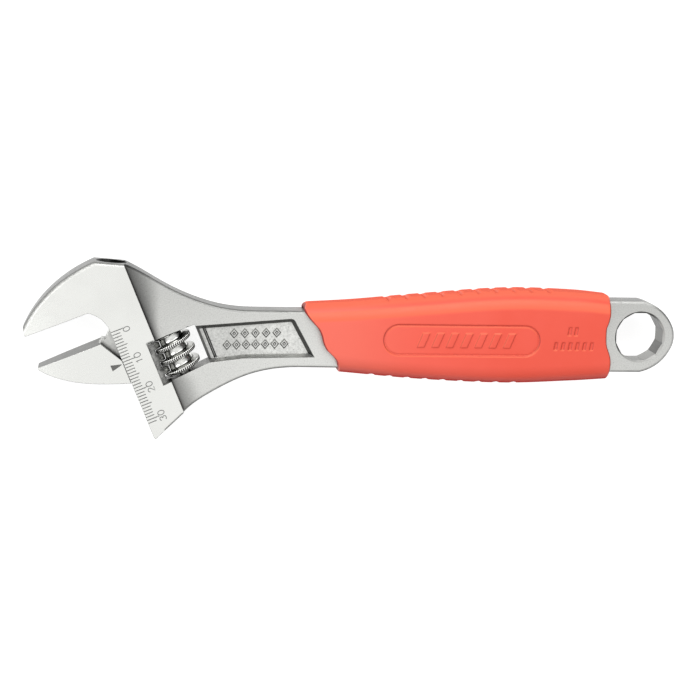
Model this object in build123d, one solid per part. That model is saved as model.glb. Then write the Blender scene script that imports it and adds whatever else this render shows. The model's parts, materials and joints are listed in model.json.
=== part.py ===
from build123d import *
from math import sqrt
import os

# Adjustable wrench of the 200 mm class with a soft sleeve on its handle, in millimetres.
#
# The design frame has its origin at the centre of the ring hole, half way through the shank,
# with +X towards the ring end and +Z up through the front face. The finished pieces are then
# moved so that the whole wrench lies on Z = 0 with its box centred on X = Y = 0.
#
# The head has a frame of its own, turned by HEAD_TILT: its X runs across the scale strip, away
# from the jaws, and its Y runs along the jaw's travel, towards the fixed jaw. Its origin is the
# zero mark of the scale, on the strip's left edge. In it the moving jaw opens towards -Y.

# ---------------------------------------------------------------- driving dimensions
HEAD_TILT = 22.5
HEAD_ORIGIN = (-169.4, 0.2)
HEAD_THICK = 13.0
SHANK_THICK = 9.2
SHANK_ROUND = 0.8
JAW_BACK_ROUND = 1.2
BLEND_WIDTHS = [(75.0, 9.5), (-130.0, 1.0)]

# Jaws, in the head frame
JAW_REACH = 25.0
JAW_ROOT = 4.2
JAW_TAPER = 2.3
FIXED_FACE = 8.3
REST_OPENING = 10.5
MOVING_FACE = FIXED_FACE - REST_OPENING

# Scale strip, in the head frame
STRIP_WIDTH = 11.65
STRIP_END = -35.5
THROAT_END = 1.5
SCALE_LENGTH = 30
MARK_WIDTH = 0.22
MARK_DEPTH = 0.12
MARK_LENGTHS = {"ten": 3.9, "five": 3.35, "one": 2.6}

# Rack on the moving jaw and the bore and slot that guide it
RACK_ACROSS = 8.3
RACK_RADIUS = 4.15
RACK_TOP = 7.5
RACK_LENGTH = 34.0
BORE_CLEARANCE = 0.08
WEB_THICK = 5.8
SLOT_CLEARANCE = 0.1

# Adjusting screw (worm), its window and its pin, in the head frame
WORM_ACROSS = 16.5
WORM_LEAD = 4.1
WORM_RADIUS = 6.1
WORM_CORE = 3.9
WORM_LENGTH = 12.4
WORM_MIDDLE = -13.95
THREAD_LEVEL = -12.05
THREAD_ROOT = 2.1
THREAD_CREST = 1.1
TOOTH_CLEARANCE = 0.22
RACK_SLANT = 6.9
WINDOW_LEFT = 8.9
WINDOW_RIGHT = 24.9
WINDOW_TOP = -7.5
WINDOW_LOW_LEFT = -21.55
WINDOW_LOW_RIGHT = -20.45
WINDOW_BEVEL = 0.85
PIN_RADIUS = 1.9
PIN_TOP = -3.5
PIN_THREAD_RADIUS = 2.6
PIN_THREAD_TOP = -22.4
PIN_END = -30.0
PIN_CLEARANCE = 0.05
SPRING_POCKET_RADIUS = 3.1
SPRING_POCKET_DEPTH = 4.0
SPRING_WIRE = 0.5
SPRING_TURNS = 3.5

# Ring end
RING_HALF_WIDTH = 11.6
RING_NOSE = 11.5
HOLE_SIDES = 12
HOLE_ACROSS_FLATS = 15.4
HOLE_BEVEL_RADIUS = 8.35

# Panel sunk into each face of the shank
PANEL_DEPTH = 1.5
PANEL_DRAFT = 37.0
PANEL_CORNER = 1.6
PANEL_FAR_CORNER = (-112.4, 4.9)
PANEL_FLOOR = SHANK_THICK / 2 - PANEL_DEPTH
GROOVE_ACROSS = 27.2
GROOVE_DEPTH = 0.7

# Sleeve on the handle: stations along X with upper edge, lower edge and half thickness
SLEEVE_STATIONS = [
    (-111.0, 9.5, -10.9, 7.3),
    (-94.0, 10.6, -12.35, 7.7),
    (-72.0, 12.6, -14.15, 8.4),
    (-44.0, 14.75, -15.2, 8.8),
    (-22.0, 14.3, -14.4, 8.6),
    (-9.0, 13.0, -13.6, 8.2),
]
SLEEVE_CORNER = 5.2
SLEEVE_FRONT = [(-109.8, 12.0), (-109.6, 9.6), (-105.2, 2.8), (-103.4, -2.0), (-99.6, -7.2), (-97.8, -12.5)]
SLEEVE_REAR = [(-14.2, 14.6), (-11.6, 10.6), (-13.0, 0.8), (-10.8, -9.4), (-13.6, -15.0)]
NOTCH_PITCH = 5.75
NOTCH_DEPTH = 0.7
NOTCH_RADIUS = 2.0
UPPER_NOTCHES = 10
LOWER_NOTCHES = 9
UPPER_NOTCH_START = -82.3
LOWER_NOTCH_START = -87.1


# ---------------------------------------------------------------- frames
HEAD = Location((HEAD_ORIGIN[0], HEAD_ORIGIN[1], 0), (0, 0, HEAD_TILT))


def head_point(across, along):
    """The point of the design frame at a place in the head frame."""
    return (HEAD * Pos(across, along)).position


def section_plane(along):
    """Plane across the head: its x runs across the strip and its y runs up through the front."""
    return Plane(origin=(0, along, 0), x_dir=(1, 0, 0), z_dir=(0, -1, 0))


def both_faces(tool):
    """The tool together with its mirror image on the other face of the wrench."""
    return [tool, mirror(tool, about=Plane.XY)]


def engraved(outline, level=HEAD_THICK / 2):
    """Shallow cutter for a mark in the head's front face (head frame)."""
    return Pos(0, 0, level) * extrude(outline, MARK_DEPTH, both=True)


def mirrored(point):
    """The point's mirror image below the X axis."""
    return Vector(point.X, -point.Y)


# ---------------------------------------------------------------- forged body
def body_outline():
    """Outline of the forging, from the fixed jaw's tip round the ring and back up the strip."""
    tip_low = head_point(-JAW_REACH, FIXED_FACE)
    tip_high = Vector(-196.3, 1.1)
    crown_left = Vector(-174.7, 22.2)
    crown_right = Vector(-165.0, 21.5)
    neck_top = Vector(-124.0, 7.35)
    shank_top = Vector(-110.0, 7.35)
    ring_top = Vector(-14.0, RING_HALF_WIDTH)
    nose_top = Vector(0.6, RING_HALF_WIDTH)
    nose_upper = Vector(10.5, 4.0)
    neck_low = Vector(-110.0, -10.65)
    heel_right = Vector(-146.9, -25.4)
    heel = head_point(0, STRIP_END) + Vector(0.6, -0.9)
    strip_low = head_point(0, STRIP_END)
    throat_low = head_point(0, THROAT_END)
    throat_mid = head_point(-1.3, 5.3)
    throat_high = head_point(-JAW_ROOT, FIXED_FACE)
    nose_lower = mirrored(nose_upper)
    nose_bottom = mirrored(nose_top)
    lines = [
        Line(tip_low, tip_high),
        Spline(tip_high, (-191.2, 9.6), (-183.9, 16.7), crown_left),
        Line(crown_left, crown_right),
        Spline(crown_right, (-152.2, 14.6), (-139.5, 9.4), neck_top, tangents=[(1, -0.42), (1, 0)]),
        Line(neck_top, shank_top),
        Line(shank_top, ring_top),
        Line(ring_top, nose_top),
        ThreePointArc(nose_top, (6.7, 8.75), nose_upper),
        ThreePointArc(nose_upper, (RING_NOSE, 0), nose_lower),
        ThreePointArc(nose_lower, (6.7, -8.75), nose_bottom),
        Line(nose_bottom, mirrored(ring_top)),
        Line(mirrored(ring_top), neck_low),
        Spline(neck_low, (-127.1, -13.4), (-137.1, -18.3), heel_right,
               tangents=[(-1, 0), (-1, -0.97)]),
        Line(heel_right, heel),
        Line(heel, strip_low),
        Line(strip_low, throat_low),
        ThreePointArc(throat_low, throat_mid, throat_high),
        Line(throat_high, tip_low),
    ]
    return make_face(lines)


def jaw_taper_tools():
    """Tools that thin the jaws gently from their root to their tip, on both faces (head frame)."""
    start = -2.0
    reach = JAW_REACH + 5.0
    run = JAW_REACH + start
    radius = (run**2 + JAW_TAPER**2) / (2 * JAW_TAPER)
    full_run = reach + start
    drop = radius - sqrt(radius**2 - full_run**2)
    surface = HEAD_THICK / 2
    above = surface + 2.0
    lines = [
        TangentArc((start, surface), (-reach, surface - drop), tangent=(-1, 0)),
        Line((-reach, surface - drop), (-reach, above)),
        Line((-reach, above), (start, above)),
        Line((start, above), (start, surface)),
    ]
    tool = extrude(section_plane(40.0) * make_face(lines), 90.0)
    return both_faces(tool)


def relief_section(along, blend):
    """Section of the space over the shank: a short wall, a hollow blend, then the shank's face."""
    wall = STRIP_WIDTH
    low = SHANK_THICK / 2
    lip = HEAD_THICK / 2 - 0.6
    far = 200.0
    above = HEAD_THICK / 2 + 1.0
    lines = [
        EllipticalCenterArc((wall + blend, lip), blend, lip - low, 180, arc_size=90),
        Polyline((wall + blend, low), (far, low), (far, above), (wall, above), (wall, lip)),
    ]
    return section_plane(along) * make_face(lines)


def relief_tools():
    """Tools that bring the forging down from the head's thickness to the shank's.

    The hollow blend beside the strip is wide at the crown and narrows evenly towards the heel.
    """
    sections = [relief_section(along, width) for along, width in BLEND_WIDTHS]
    return both_faces(loft(sections, ruled=True))


def bore_and_slot():
    """Round bore for the rack and the slot that its web runs in, open at the strip (head frame)."""
    length = 80.0
    bore_plane = Plane(origin=(RACK_ACROSS, -length / 2, 0), z_dir=(0, 1, 0))
    bore = bore_plane * extrude(Circle(RACK_RADIUS + BORE_CLEARANCE), length)
    slot_outline = make_face(Polyline(
        (-JAW_ROOT - 1.2, FIXED_FACE - 4.0),
        (-JAW_ROOT - 1.2, FIXED_FACE + 0.6),
        (-1.5, 11.6),
        (RACK_ACROSS, 11.6),
        (RACK_ACROSS, -length / 2),
        (-JAW_ROOT - 1.2, -length / 2),
        close=True,
    ))
    slot = extrude(slot_outline, WEB_THICK / 2 + SLOT_CLEARANCE, both=True)
    return [bore, slot]


def window():
    """Opening through the head that the worm sits in (head frame)."""
    outline = make_face(Polyline(
        (WINDOW_LEFT, WINDOW_TOP),
        (WINDOW_RIGHT, WINDOW_TOP),
        (WINDOW_RIGHT, WINDOW_LOW_RIGHT),
        (WINDOW_LEFT, WINDOW_LOW_LEFT),
        close=True,
    ))
    return extrude(outline, 2 * HEAD_THICK, both=True)


def pin_hole():
    """Blind hole for the worm's pin, wider where the pin's thread holds it (head frame)."""
    shaft = along_travel(PIN_RADIUS + PIN_CLEARANCE, WORM_ACROSS, PIN_TOP + 0.3, PIN_THREAD_TOP - 1)
    thread = along_travel(PIN_THREAD_RADIUS, WORM_ACROSS, PIN_THREAD_TOP, PIN_END - 10)
    return [shaft, thread]


def along_travel(radius, across, top, bottom):
    """A round bar along the jaw's travel between two levels (head frame)."""
    plane = Plane(origin=(across, bottom, 0), z_dir=(0, 1, 0))
    return plane * extrude(Circle(radius), top - bottom)


def panel_tools():
    """The sunk panel between the window and the sleeve, on both faces."""
    outline = make_face(Polyline(
        (-146.0, 2.1), PANEL_FAR_CORNER, (-105.6, -7.4), (-128.0, -7.9), (-137.6, -9.2), (-142.0, -9.4),
        close=True,
    ))
    corner = outline.vertices().sort_by_distance(PANEL_FAR_CORNER)[0]
    outline = fillet(corner, PANEL_CORNER)
    recess = Pos(0, 0, SHANK_THICK / 2) * extrude(outline, -PANEL_DEPTH, taper=PANEL_DRAFT)
    return both_faces(recess)


def panel_floor_tools():
    """Bevel along the window's right edge and the groove beside it, in the panel's floor (head frame)."""
    top = -9.3
    bottom = -19.9
    lift = 0.3
    bevel = make_face(Polyline(
        (WINDOW_RIGHT - lift, -WINDOW_BEVEL - lift),
        (WINDOW_RIGHT - lift, lift),
        (WINDOW_RIGHT + WINDOW_BEVEL + lift, lift),
        close=True,
    ))
    groove = make_face(Polyline(
        (GROOVE_ACROSS - 0.6, lift),
        (GROOVE_ACROSS + 0.6, lift),
        (GROOVE_ACROSS + 0.15, -GROOVE_DEPTH),
        (GROOVE_ACROSS - 0.15, -GROOVE_DEPTH),
        close=True,
    ))
    tools = []
    for profile in (bevel, groove):
        tool = Pos(0, 0, PANEL_FLOOR) * extrude(section_plane(top) * profile, top - bottom)
        tools += both_faces(tool)
    return tools


def ring_hole():
    """Twelve-sided hole right through the ring end, with a small bevel at each rim."""
    polygon = RegularPolygon(HOLE_ACROSS_FLATS / 2, HOLE_SIDES, major_radius=False, rotation=15)
    hole = extrude(polygon, SHANK_THICK, both=True)
    depth = 1.2
    cone = Cone(HOLE_BEVEL_RADIUS - depth, HOLE_BEVEL_RADIUS, depth)
    bevel = Pos(0, 0, (SHANK_THICK - depth) / 2) * cone
    return [hole] + both_faces(bevel)


def shank_edges(solid):
    """Long edges of the shank and ring, which lie in the shank's two faces."""
    beyond_blend = 22.0
    edges = []
    for side in (-1, 1):
        level = side * SHANK_THICK / 2
        for edge in solid.edges().filter_by_position(Axis.Z, level - 0.01, level + 0.01):
            across = (HEAD.inverse() * Pos(edge.center())).position.X
            if across > beyond_blend:
                edges.append(edge)
    return edges


def jaw_back_edges(solid):
    """Edges of both faces along the back and the crown of the fixed jaw."""
    edges = []
    for side in (-1, 1):
        for x, y, z in ((-190.0, 11.0, 5.4), (-177.0, 21.2, 6.5), (-170.0, 21.9, 6.5)):
            edges.append(solid.edges().sort_by_distance((x, y, side * z))[0])
    return edges


def scale_marks():
    """Millimetre marks along the strip's left edge, longer at the fives and tens (head frame)."""
    marks = []
    for reading in range(SCALE_LENGTH + 2):
        if reading % 10 == 0:
            length = MARK_LENGTHS["ten"]
        elif reading % 5 == 0:
            length = MARK_LENGTHS["five"]
        else:
            length = MARK_LENGTHS["one"]
        place = Pos(length / 2 + 0.15, -reading)
        marks.append(engraved(place * Rectangle(length, MARK_WIDTH)))
    return marks


def wrench_body():
    """Forged body: fixed jaw, scale strip, shank and ring end in one piece."""
    body = extrude(body_outline(), HEAD_THICK / 2, both=True)
    for tool in relief_tools() + jaw_taper_tools():
        body -= HEAD * tool
    body = fillet(shank_edges(body), SHANK_ROUND)
    body = fillet(jaw_back_edges(body), JAW_BACK_ROUND)
    for tool in panel_tools() + ring_hole():
        body -= tool
    for tool in bore_and_slot() + pin_hole() + [window()] + panel_floor_tools() + scale_marks():
        body -= HEAD * tool
    return body


# ---------------------------------------------------------------- moving jaw
def jaw_plate():
    """Full thickness part of the moving jaw, to the left of the strip (head frame)."""
    edge = -0.12
    underside_end = (edge, -17.1)
    lines = [
        Line((-JAW_ROOT, MOVING_FACE), (-JAW_REACH, MOVING_FACE)),
        Line((-JAW_REACH, MOVING_FACE), (-JAW_REACH, MOVING_FACE - 0.8)),
        Spline((-JAW_REACH, MOVING_FACE - 0.8), (-20.9, -7.1), (-11.1, -12.9), underside_end),
        Line(underside_end, (edge, -9.4)),
        Line((edge, -9.4), (-JAW_ROOT, MOVING_FACE)),
    ]
    return extrude(make_face(lines), HEAD_THICK / 2, both=True)


def jaw_web():
    """Thin web that joins the jaw to its rack through the slot (head frame)."""
    outline = make_face(Polyline(
        (-JAW_ROOT - 0.4, MOVING_FACE - 1.2),
        (-JAW_ROOT, MOVING_FACE),
        (-3.5, -1.2),
        (-2.6, -1.8),
        (-0.2, 0.3),
        (RACK_ACROSS, 0.3),
        (RACK_ACROSS, -16.4),
        (-2.0, -15.6),
        (-JAW_ROOT - 0.4, -13.0),
        close=True,
    ))
    return extrude(outline, WEB_THICK / 2, both=True)


def rack_grooves():
    """Tooth spaces of the rack, slanted to suit the worm's thread (head frame)."""
    crest = WORM_RADIUS + 0.15
    root = WORM_CORE - 0.3
    crest_half = THREAD_CREST / 2 + TOOTH_CLEARANCE
    root_half = THREAD_ROOT / 2 + TOOTH_CLEARANCE
    count = round(RACK_LENGTH / WORM_LEAD) + 2
    first = THREAD_LEVEL + WORM_LEAD * 6
    grooves = []
    for index in range(count):
        level = first - WORM_LEAD * index
        profile = make_face(Polyline(
            (WORM_ACROSS - crest, level - crest_half),
            (WORM_ACROSS - crest, level + crest_half),
            (WORM_ACROSS - root, level + root_half),
            (WORM_ACROSS - root, level - root_half),
            close=True,
        ))
        groove = extrude(profile, RACK_RADIUS + 1.0, both=True)
        turn = Pos(0, level, 0) * Rot(-RACK_SLANT, 0, 0) * Pos(0, -level, 0)
        grooves.append(turn * groove)
    return grooves


def index_mark():
    """Triangle on the jaw that points at the reading on the scale (head frame)."""
    level = -REST_OPENING
    triangle = make_face(Polyline((-0.45, level), (-3.9, level + 0.95), (-3.9, level - 0.95), close=True))
    return engraved(triangle)


def moving_jaw():
    """Moving jaw with its web and its round toothed rack, at the opening it rests at."""
    plate = jaw_plate()
    for tool in jaw_taper_tools() + [index_mark()]:
        plate -= tool
    rack = along_travel(RACK_RADIUS, RACK_ACROSS, RACK_TOP, RACK_TOP - RACK_LENGTH)
    rack = chamfer(rack.edges().filter_by(GeomType.CIRCLE), 0.6)
    for groove in rack_grooves():
        rack -= groove
    return HEAD * (plate + jaw_web() + rack)


# ---------------------------------------------------------------- adjusting screw
def thread_ridge():
    """One helical ridge of the worm, round its own axis (Z)."""
    turns = 6
    turns_height = turns * WORM_LEAD
    helix = Helix(WORM_LEAD, turns_height, WORM_CORE)
    profile_plane = Plane(origin=(WORM_CORE, 0, 0), x_dir=(1, 0, 0), z_dir=(0, 1, 0))
    depth = WORM_RADIUS - WORM_CORE
    profile = profile_plane * make_face(Polyline(
        (-0.4, -THREAD_ROOT / 2 - 0.1),
        (depth, -THREAD_CREST / 2),
        (depth, THREAD_CREST / 2),
        (-0.4, THREAD_ROOT / 2 + 0.1),
        close=True,
    ))
    ridge = sweep(profile, path=helix, is_frenet=True)
    return Pos(0, 0, THREAD_LEVEL - WORM_MIDDLE - turns_height / 2) * ridge


def worm():
    """Adjusting screw: threaded drum, bored for its pin and pocketed for the spring."""
    drum = Cylinder(WORM_CORE, WORM_LENGTH)
    envelope = Cylinder(WORM_RADIUS + 0.01, WORM_LENGTH)
    envelope = chamfer(envelope.edges().filter_by(GeomType.CIRCLE), 0.6)
    screw = drum + (thread_ridge() & envelope)
    screw -= Cylinder(PIN_RADIUS + PIN_CLEARANCE, WORM_LENGTH)
    pocket_middle = -WORM_LENGTH / 2 + SPRING_POCKET_DEPTH / 2
    screw -= Pos(0, 0, pocket_middle) * Cylinder(SPRING_POCKET_RADIUS, SPRING_POCKET_DEPTH)
    place = Plane(origin=(WORM_ACROSS, WORM_MIDDLE, 0), x_dir=(-1, 0, 0), z_dir=(0, 1, 0))
    return HEAD * (place * screw)


def worm_pin():
    """Screw pin that the worm turns on, with a slot in its outer end."""
    shaft = along_travel(PIN_RADIUS, WORM_ACROSS, PIN_TOP, PIN_THREAD_TOP - 1.0)
    thread = along_travel(PIN_THREAD_RADIUS - PIN_CLEARANCE, WORM_ACROSS, PIN_THREAD_TOP - 0.2, PIN_END)
    pin = chamfer((shaft + thread).edges().filter_by(GeomType.CIRCLE).group_by(Axis.Y)[-1], 0.4)
    slot = Pos(WORM_ACROSS, PIN_END, 0) * Box(0.9, 2.4, 3 * PIN_THREAD_RADIUS)
    return HEAD * (pin - slot)


def worm_spring():
    """Small coil spring in the worm's pocket that takes up its end play."""
    radius = PIN_RADIUS + SPRING_WIRE / 2 + 0.3
    free = SPRING_POCKET_DEPTH - SPRING_WIRE + 0.5
    path = Helix(free / SPRING_TURNS, free, radius)
    wire_plane = Plane(origin=(radius, 0, 0), x_dir=(1, 0, 0), z_dir=(0, 1, 0))
    coil = sweep(wire_plane * Circle(SPRING_WIRE / 2), path=path, is_frenet=True)
    window_low = (WINDOW_LOW_LEFT + WINDOW_LOW_RIGHT) / 2
    start = window_low + SPRING_WIRE / 2 + 0.2
    place = Plane(origin=(WORM_ACROSS, start, 0), x_dir=(-1, 0, 0), z_dir=(0, 1, 0))
    return HEAD * (place * coil)


# ---------------------------------------------------------------- handle sleeve
def sleeve_section(along, top, bottom, half_thick):
    """Rounded cross section of the sleeve at one station."""
    plane = Plane(origin=(along, (top + bottom) / 2, 0), x_dir=(0, 1, 0), z_dir=(1, 0, 0))
    corner = min(SLEEVE_CORNER, half_thick - 1.0)
    return plane * RectangleRounded(top - bottom, 2 * half_thick, corner)


def end_tool(edge, outer):
    """Tool that cuts the sleeve off along a curved edge, towards the outer X."""
    high = 40.0
    start, end = edge[0], edge[-1]
    outside = [end, (end[0], -high), (outer, -high), (outer, high), (start[0], high), start]
    return extrude(make_face([Spline(*edge), Polyline(*outside)]), 20.0, both=True)


def sleeve_end_tools():
    """Tools that give the sleeve its wavy front end and its hollow rear end."""
    return [end_tool(SLEEVE_FRONT, -130.0), end_tool(SLEEVE_REAR, 10.0)]


def sleeve_edge(along, column):
    """The sleeve's upper (1) or lower (2) edge at any place along it, between its stations."""
    for low, high in zip(SLEEVE_STATIONS, SLEEVE_STATIONS[1:]):
        if low[0] <= along <= high[0]:
            share = (along - low[0]) / (high[0] - low[0])
            return low[column] + (high[column] - low[column]) * share
    raise ValueError("outside the sleeve")


def sleeve_notches():
    """Finger notches across the sleeve's two narrow sides."""
    notches = []
    rows = [(UPPER_NOTCHES, UPPER_NOTCH_START, 1, 1), (LOWER_NOTCHES, LOWER_NOTCH_START, 2, -1)]
    for count, start, column, outward in rows:
        for index in range(count):
            along = start + NOTCH_PITCH * index
            level = sleeve_edge(along, column) + outward * (NOTCH_RADIUS - NOTCH_DEPTH)
            notches.append(Pos(along, level) * Cylinder(NOTCH_RADIUS, 9.0))
    return notches


def handle_sleeve(body):
    """Soft sleeve round the shank, hollow to the shape of the forging inside it."""
    sleeve = loft([sleeve_section(*station) for station in SLEEVE_STATIONS])
    for tool in sleeve_end_tools() + sleeve_notches():
        sleeve -= tool
    return sleeve - body


# ---------------------------------------------------------------- assembly
def placed(pieces):
    """The pieces, moved so that the wrench lies on Z = 0 with its box centred on X = Y = 0."""
    box = Compound(list(pieces.values())).bounding_box()
    centre = box.center()
    lay_down = Pos(-centre.X, -centre.Y, -box.min.Z)
    return {name: lay_down * piece for name, piece in pieces.items()}


def all_pieces():
    """Every piece of the wrench by name, in the design frame."""
    body = wrench_body()
    return {
        "wrench_body": body,
        "moving_jaw": moving_jaw(),
        "worm": worm(),
        "worm_pin": worm_pin(),
        "worm_spring": worm_spring(),
        "handle_grip": handle_sleeve(body),
    }


os.makedirs("parts", exist_ok=True)
for name, piece in placed(all_pieces()).items():
    export_step(piece, f"parts/{name}.step")
    print(name, round(piece.volume, 1), piece.bounding_box())
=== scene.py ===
import bmesh
import bpy
import json
import math
from mathutils import Matrix, Vector


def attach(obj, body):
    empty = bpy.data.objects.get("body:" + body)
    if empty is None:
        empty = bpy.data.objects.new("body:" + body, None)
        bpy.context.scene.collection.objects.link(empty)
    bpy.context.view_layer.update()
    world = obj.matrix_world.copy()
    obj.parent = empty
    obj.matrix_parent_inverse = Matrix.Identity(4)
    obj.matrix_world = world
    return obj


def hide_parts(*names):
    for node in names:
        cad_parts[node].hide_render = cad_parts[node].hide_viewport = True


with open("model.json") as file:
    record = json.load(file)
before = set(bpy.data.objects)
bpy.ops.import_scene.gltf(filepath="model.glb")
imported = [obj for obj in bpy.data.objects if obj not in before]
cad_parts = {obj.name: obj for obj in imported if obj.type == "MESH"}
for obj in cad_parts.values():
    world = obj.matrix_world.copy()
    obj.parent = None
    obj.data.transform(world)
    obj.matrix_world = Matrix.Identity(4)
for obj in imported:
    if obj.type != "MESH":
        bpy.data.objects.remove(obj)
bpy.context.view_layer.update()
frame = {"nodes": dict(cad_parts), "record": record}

MM = 0.001

# The design frame, in millimetres, has its origin at the centre of the ring hole, half way through
# the shank. The head frame has its origin at the scale's zero mark; its X runs across the scale
# strip, away from the jaws, and its Y runs along the jaw's travel, towards the fixed jaw.
MOUNTS = {mount["name"]: mount for mount in frame["record"]["mounts"]}
ORIGIN = Vector(MOUNTS["ring_hole"]["pos_m"])
HEAD_ORIGIN = (-169.4, 0.2)
HEAD_TILT = math.radians(22.5)
# Heights of the flat faces over the wrench's middle plane.
HEAD_LEVEL = 6.5
SHANK_LEVEL = 4.6
PANEL_LEVEL = 3.1


def place(x, y, z=0.0):
    """A point of the design frame."""
    return ORIGIN + Vector((x, y, z)) * MM


def head_place(across, along, z=0.0):
    """A point of the head frame."""
    cos, sin = math.cos(HEAD_TILT), math.sin(HEAD_TILT)
    x = HEAD_ORIGIN[0] + cos * across - sin * along
    y = HEAD_ORIGIN[1] + sin * across + cos * along
    return place(x, y, z)


# ---------------------------------------------------------------- camera, floor and light
CAMERA_EYE = (-173.35, 95.2, 558.86)
CAMERA_AIM = (-94.38, -5.12, 0.0)
CAMERA_ROLL = math.radians(0.414)
CAMERA_LENS = 93.1
SENSOR_WIDTH = 36.0
FLOOR_HALF = 4.0
FLOOR_GREY = 0.45
FLOOR_GLOW = 0.80
# Brightness of the surroundings near the horizon and overhead.
WORLD_LOW, WORLD_HIGH = 0.06, 0.92


def make_camera():
    """Camera at the photograph's viewing angle."""
    eye, aim = place(*CAMERA_EYE), place(*CAMERA_AIM)
    back = (eye - aim).normalized()
    level = Vector((math.cos(CAMERA_ROLL), math.sin(CAMERA_ROLL), 0))
    right = (level - back * level.dot(back)).normalized()
    up = back.cross(right)
    data = bpy.data.cameras.new("camera")
    data.sensor_width = SENSOR_WIDTH
    data.lens = CAMERA_LENS
    data.clip_start = 0.01
    data.clip_end = 20.0
    camera = bpy.data.objects.new("camera", data)
    camera.matrix_world = Matrix.Translation(eye) @ Matrix((right, up, back)).transposed().to_4x4()
    bpy.context.scene.collection.objects.link(camera)
    bpy.context.scene.camera = camera


def make_floor():
    """Plain pale floor with a faint glow of its own, so that it stays white up to the wrench."""
    half = FLOOR_HALF
    corners = [(-half, -half, 0), (half, -half, 0), (half, half, 0), (-half, half, 0)]
    mesh = bpy.data.meshes.new("floor")
    mesh.from_pydata(corners, [], [(0, 1, 2, 3)])
    floor = bpy.data.objects.new("floor", mesh)
    bpy.context.scene.collection.objects.link(floor)
    paper = bpy.data.materials.new("paper_floor")
    paper.use_nodes = True
    shader = paper.node_tree.nodes["Principled BSDF"]
    shader.inputs["Base Color"].default_value = (FLOOR_GREY, FLOOR_GREY, FLOOR_GREY, 1)
    shader.inputs["Roughness"].default_value = 0.95
    shader.inputs["Specular IOR Level"].default_value = 0.1
    shader.inputs["Emission Color"].default_value = (1, 1, 1, 1)
    shader.inputs["Emission Strength"].default_value = FLOOR_GLOW
    mesh.materials.append(paper)


def make_light(name, location, size, power):
    """A soft box that faces the middle of the wrench."""
    data = bpy.data.lights.new(name, "AREA")
    data.shape = "RECTANGLE"
    data.size, data.size_y = size
    data.energy = power
    light = bpy.data.objects.new(name, data)
    light.location = location
    light.rotation_euler = (-Vector(location)).to_track_quat("-Z", "Y").to_euler()
    bpy.context.scene.collection.objects.link(light)


def make_world():
    """Soft studio surroundings: bright overhead and grey towards the horizon."""
    world = bpy.data.worlds.new("studio")
    world.use_nodes = True
    tree = world.node_tree
    background = tree.nodes["Background"]
    direction = tree.nodes.new("ShaderNodeTexCoord")
    height = tree.nodes.new("ShaderNodeSeparateXYZ")
    rise = tree.nodes.new("ShaderNodeMapRange")
    rise.interpolation_type = "SMOOTHSTEP"
    rise.inputs["From Min"].default_value = 0.2
    rise.inputs["From Max"].default_value = 0.95
    rise.inputs["To Min"].default_value = WORLD_LOW
    rise.inputs["To Max"].default_value = WORLD_HIGH
    tree.links.new(direction.outputs["Generated"], height.inputs[0])
    tree.links.new(height.outputs["Z"], rise.inputs["Value"])
    tree.links.new(rise.outputs["Result"], background.inputs["Strength"])
    background.inputs["Color"].default_value = (1, 1, 1, 1)
    bpy.context.scene.world = world


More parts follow.
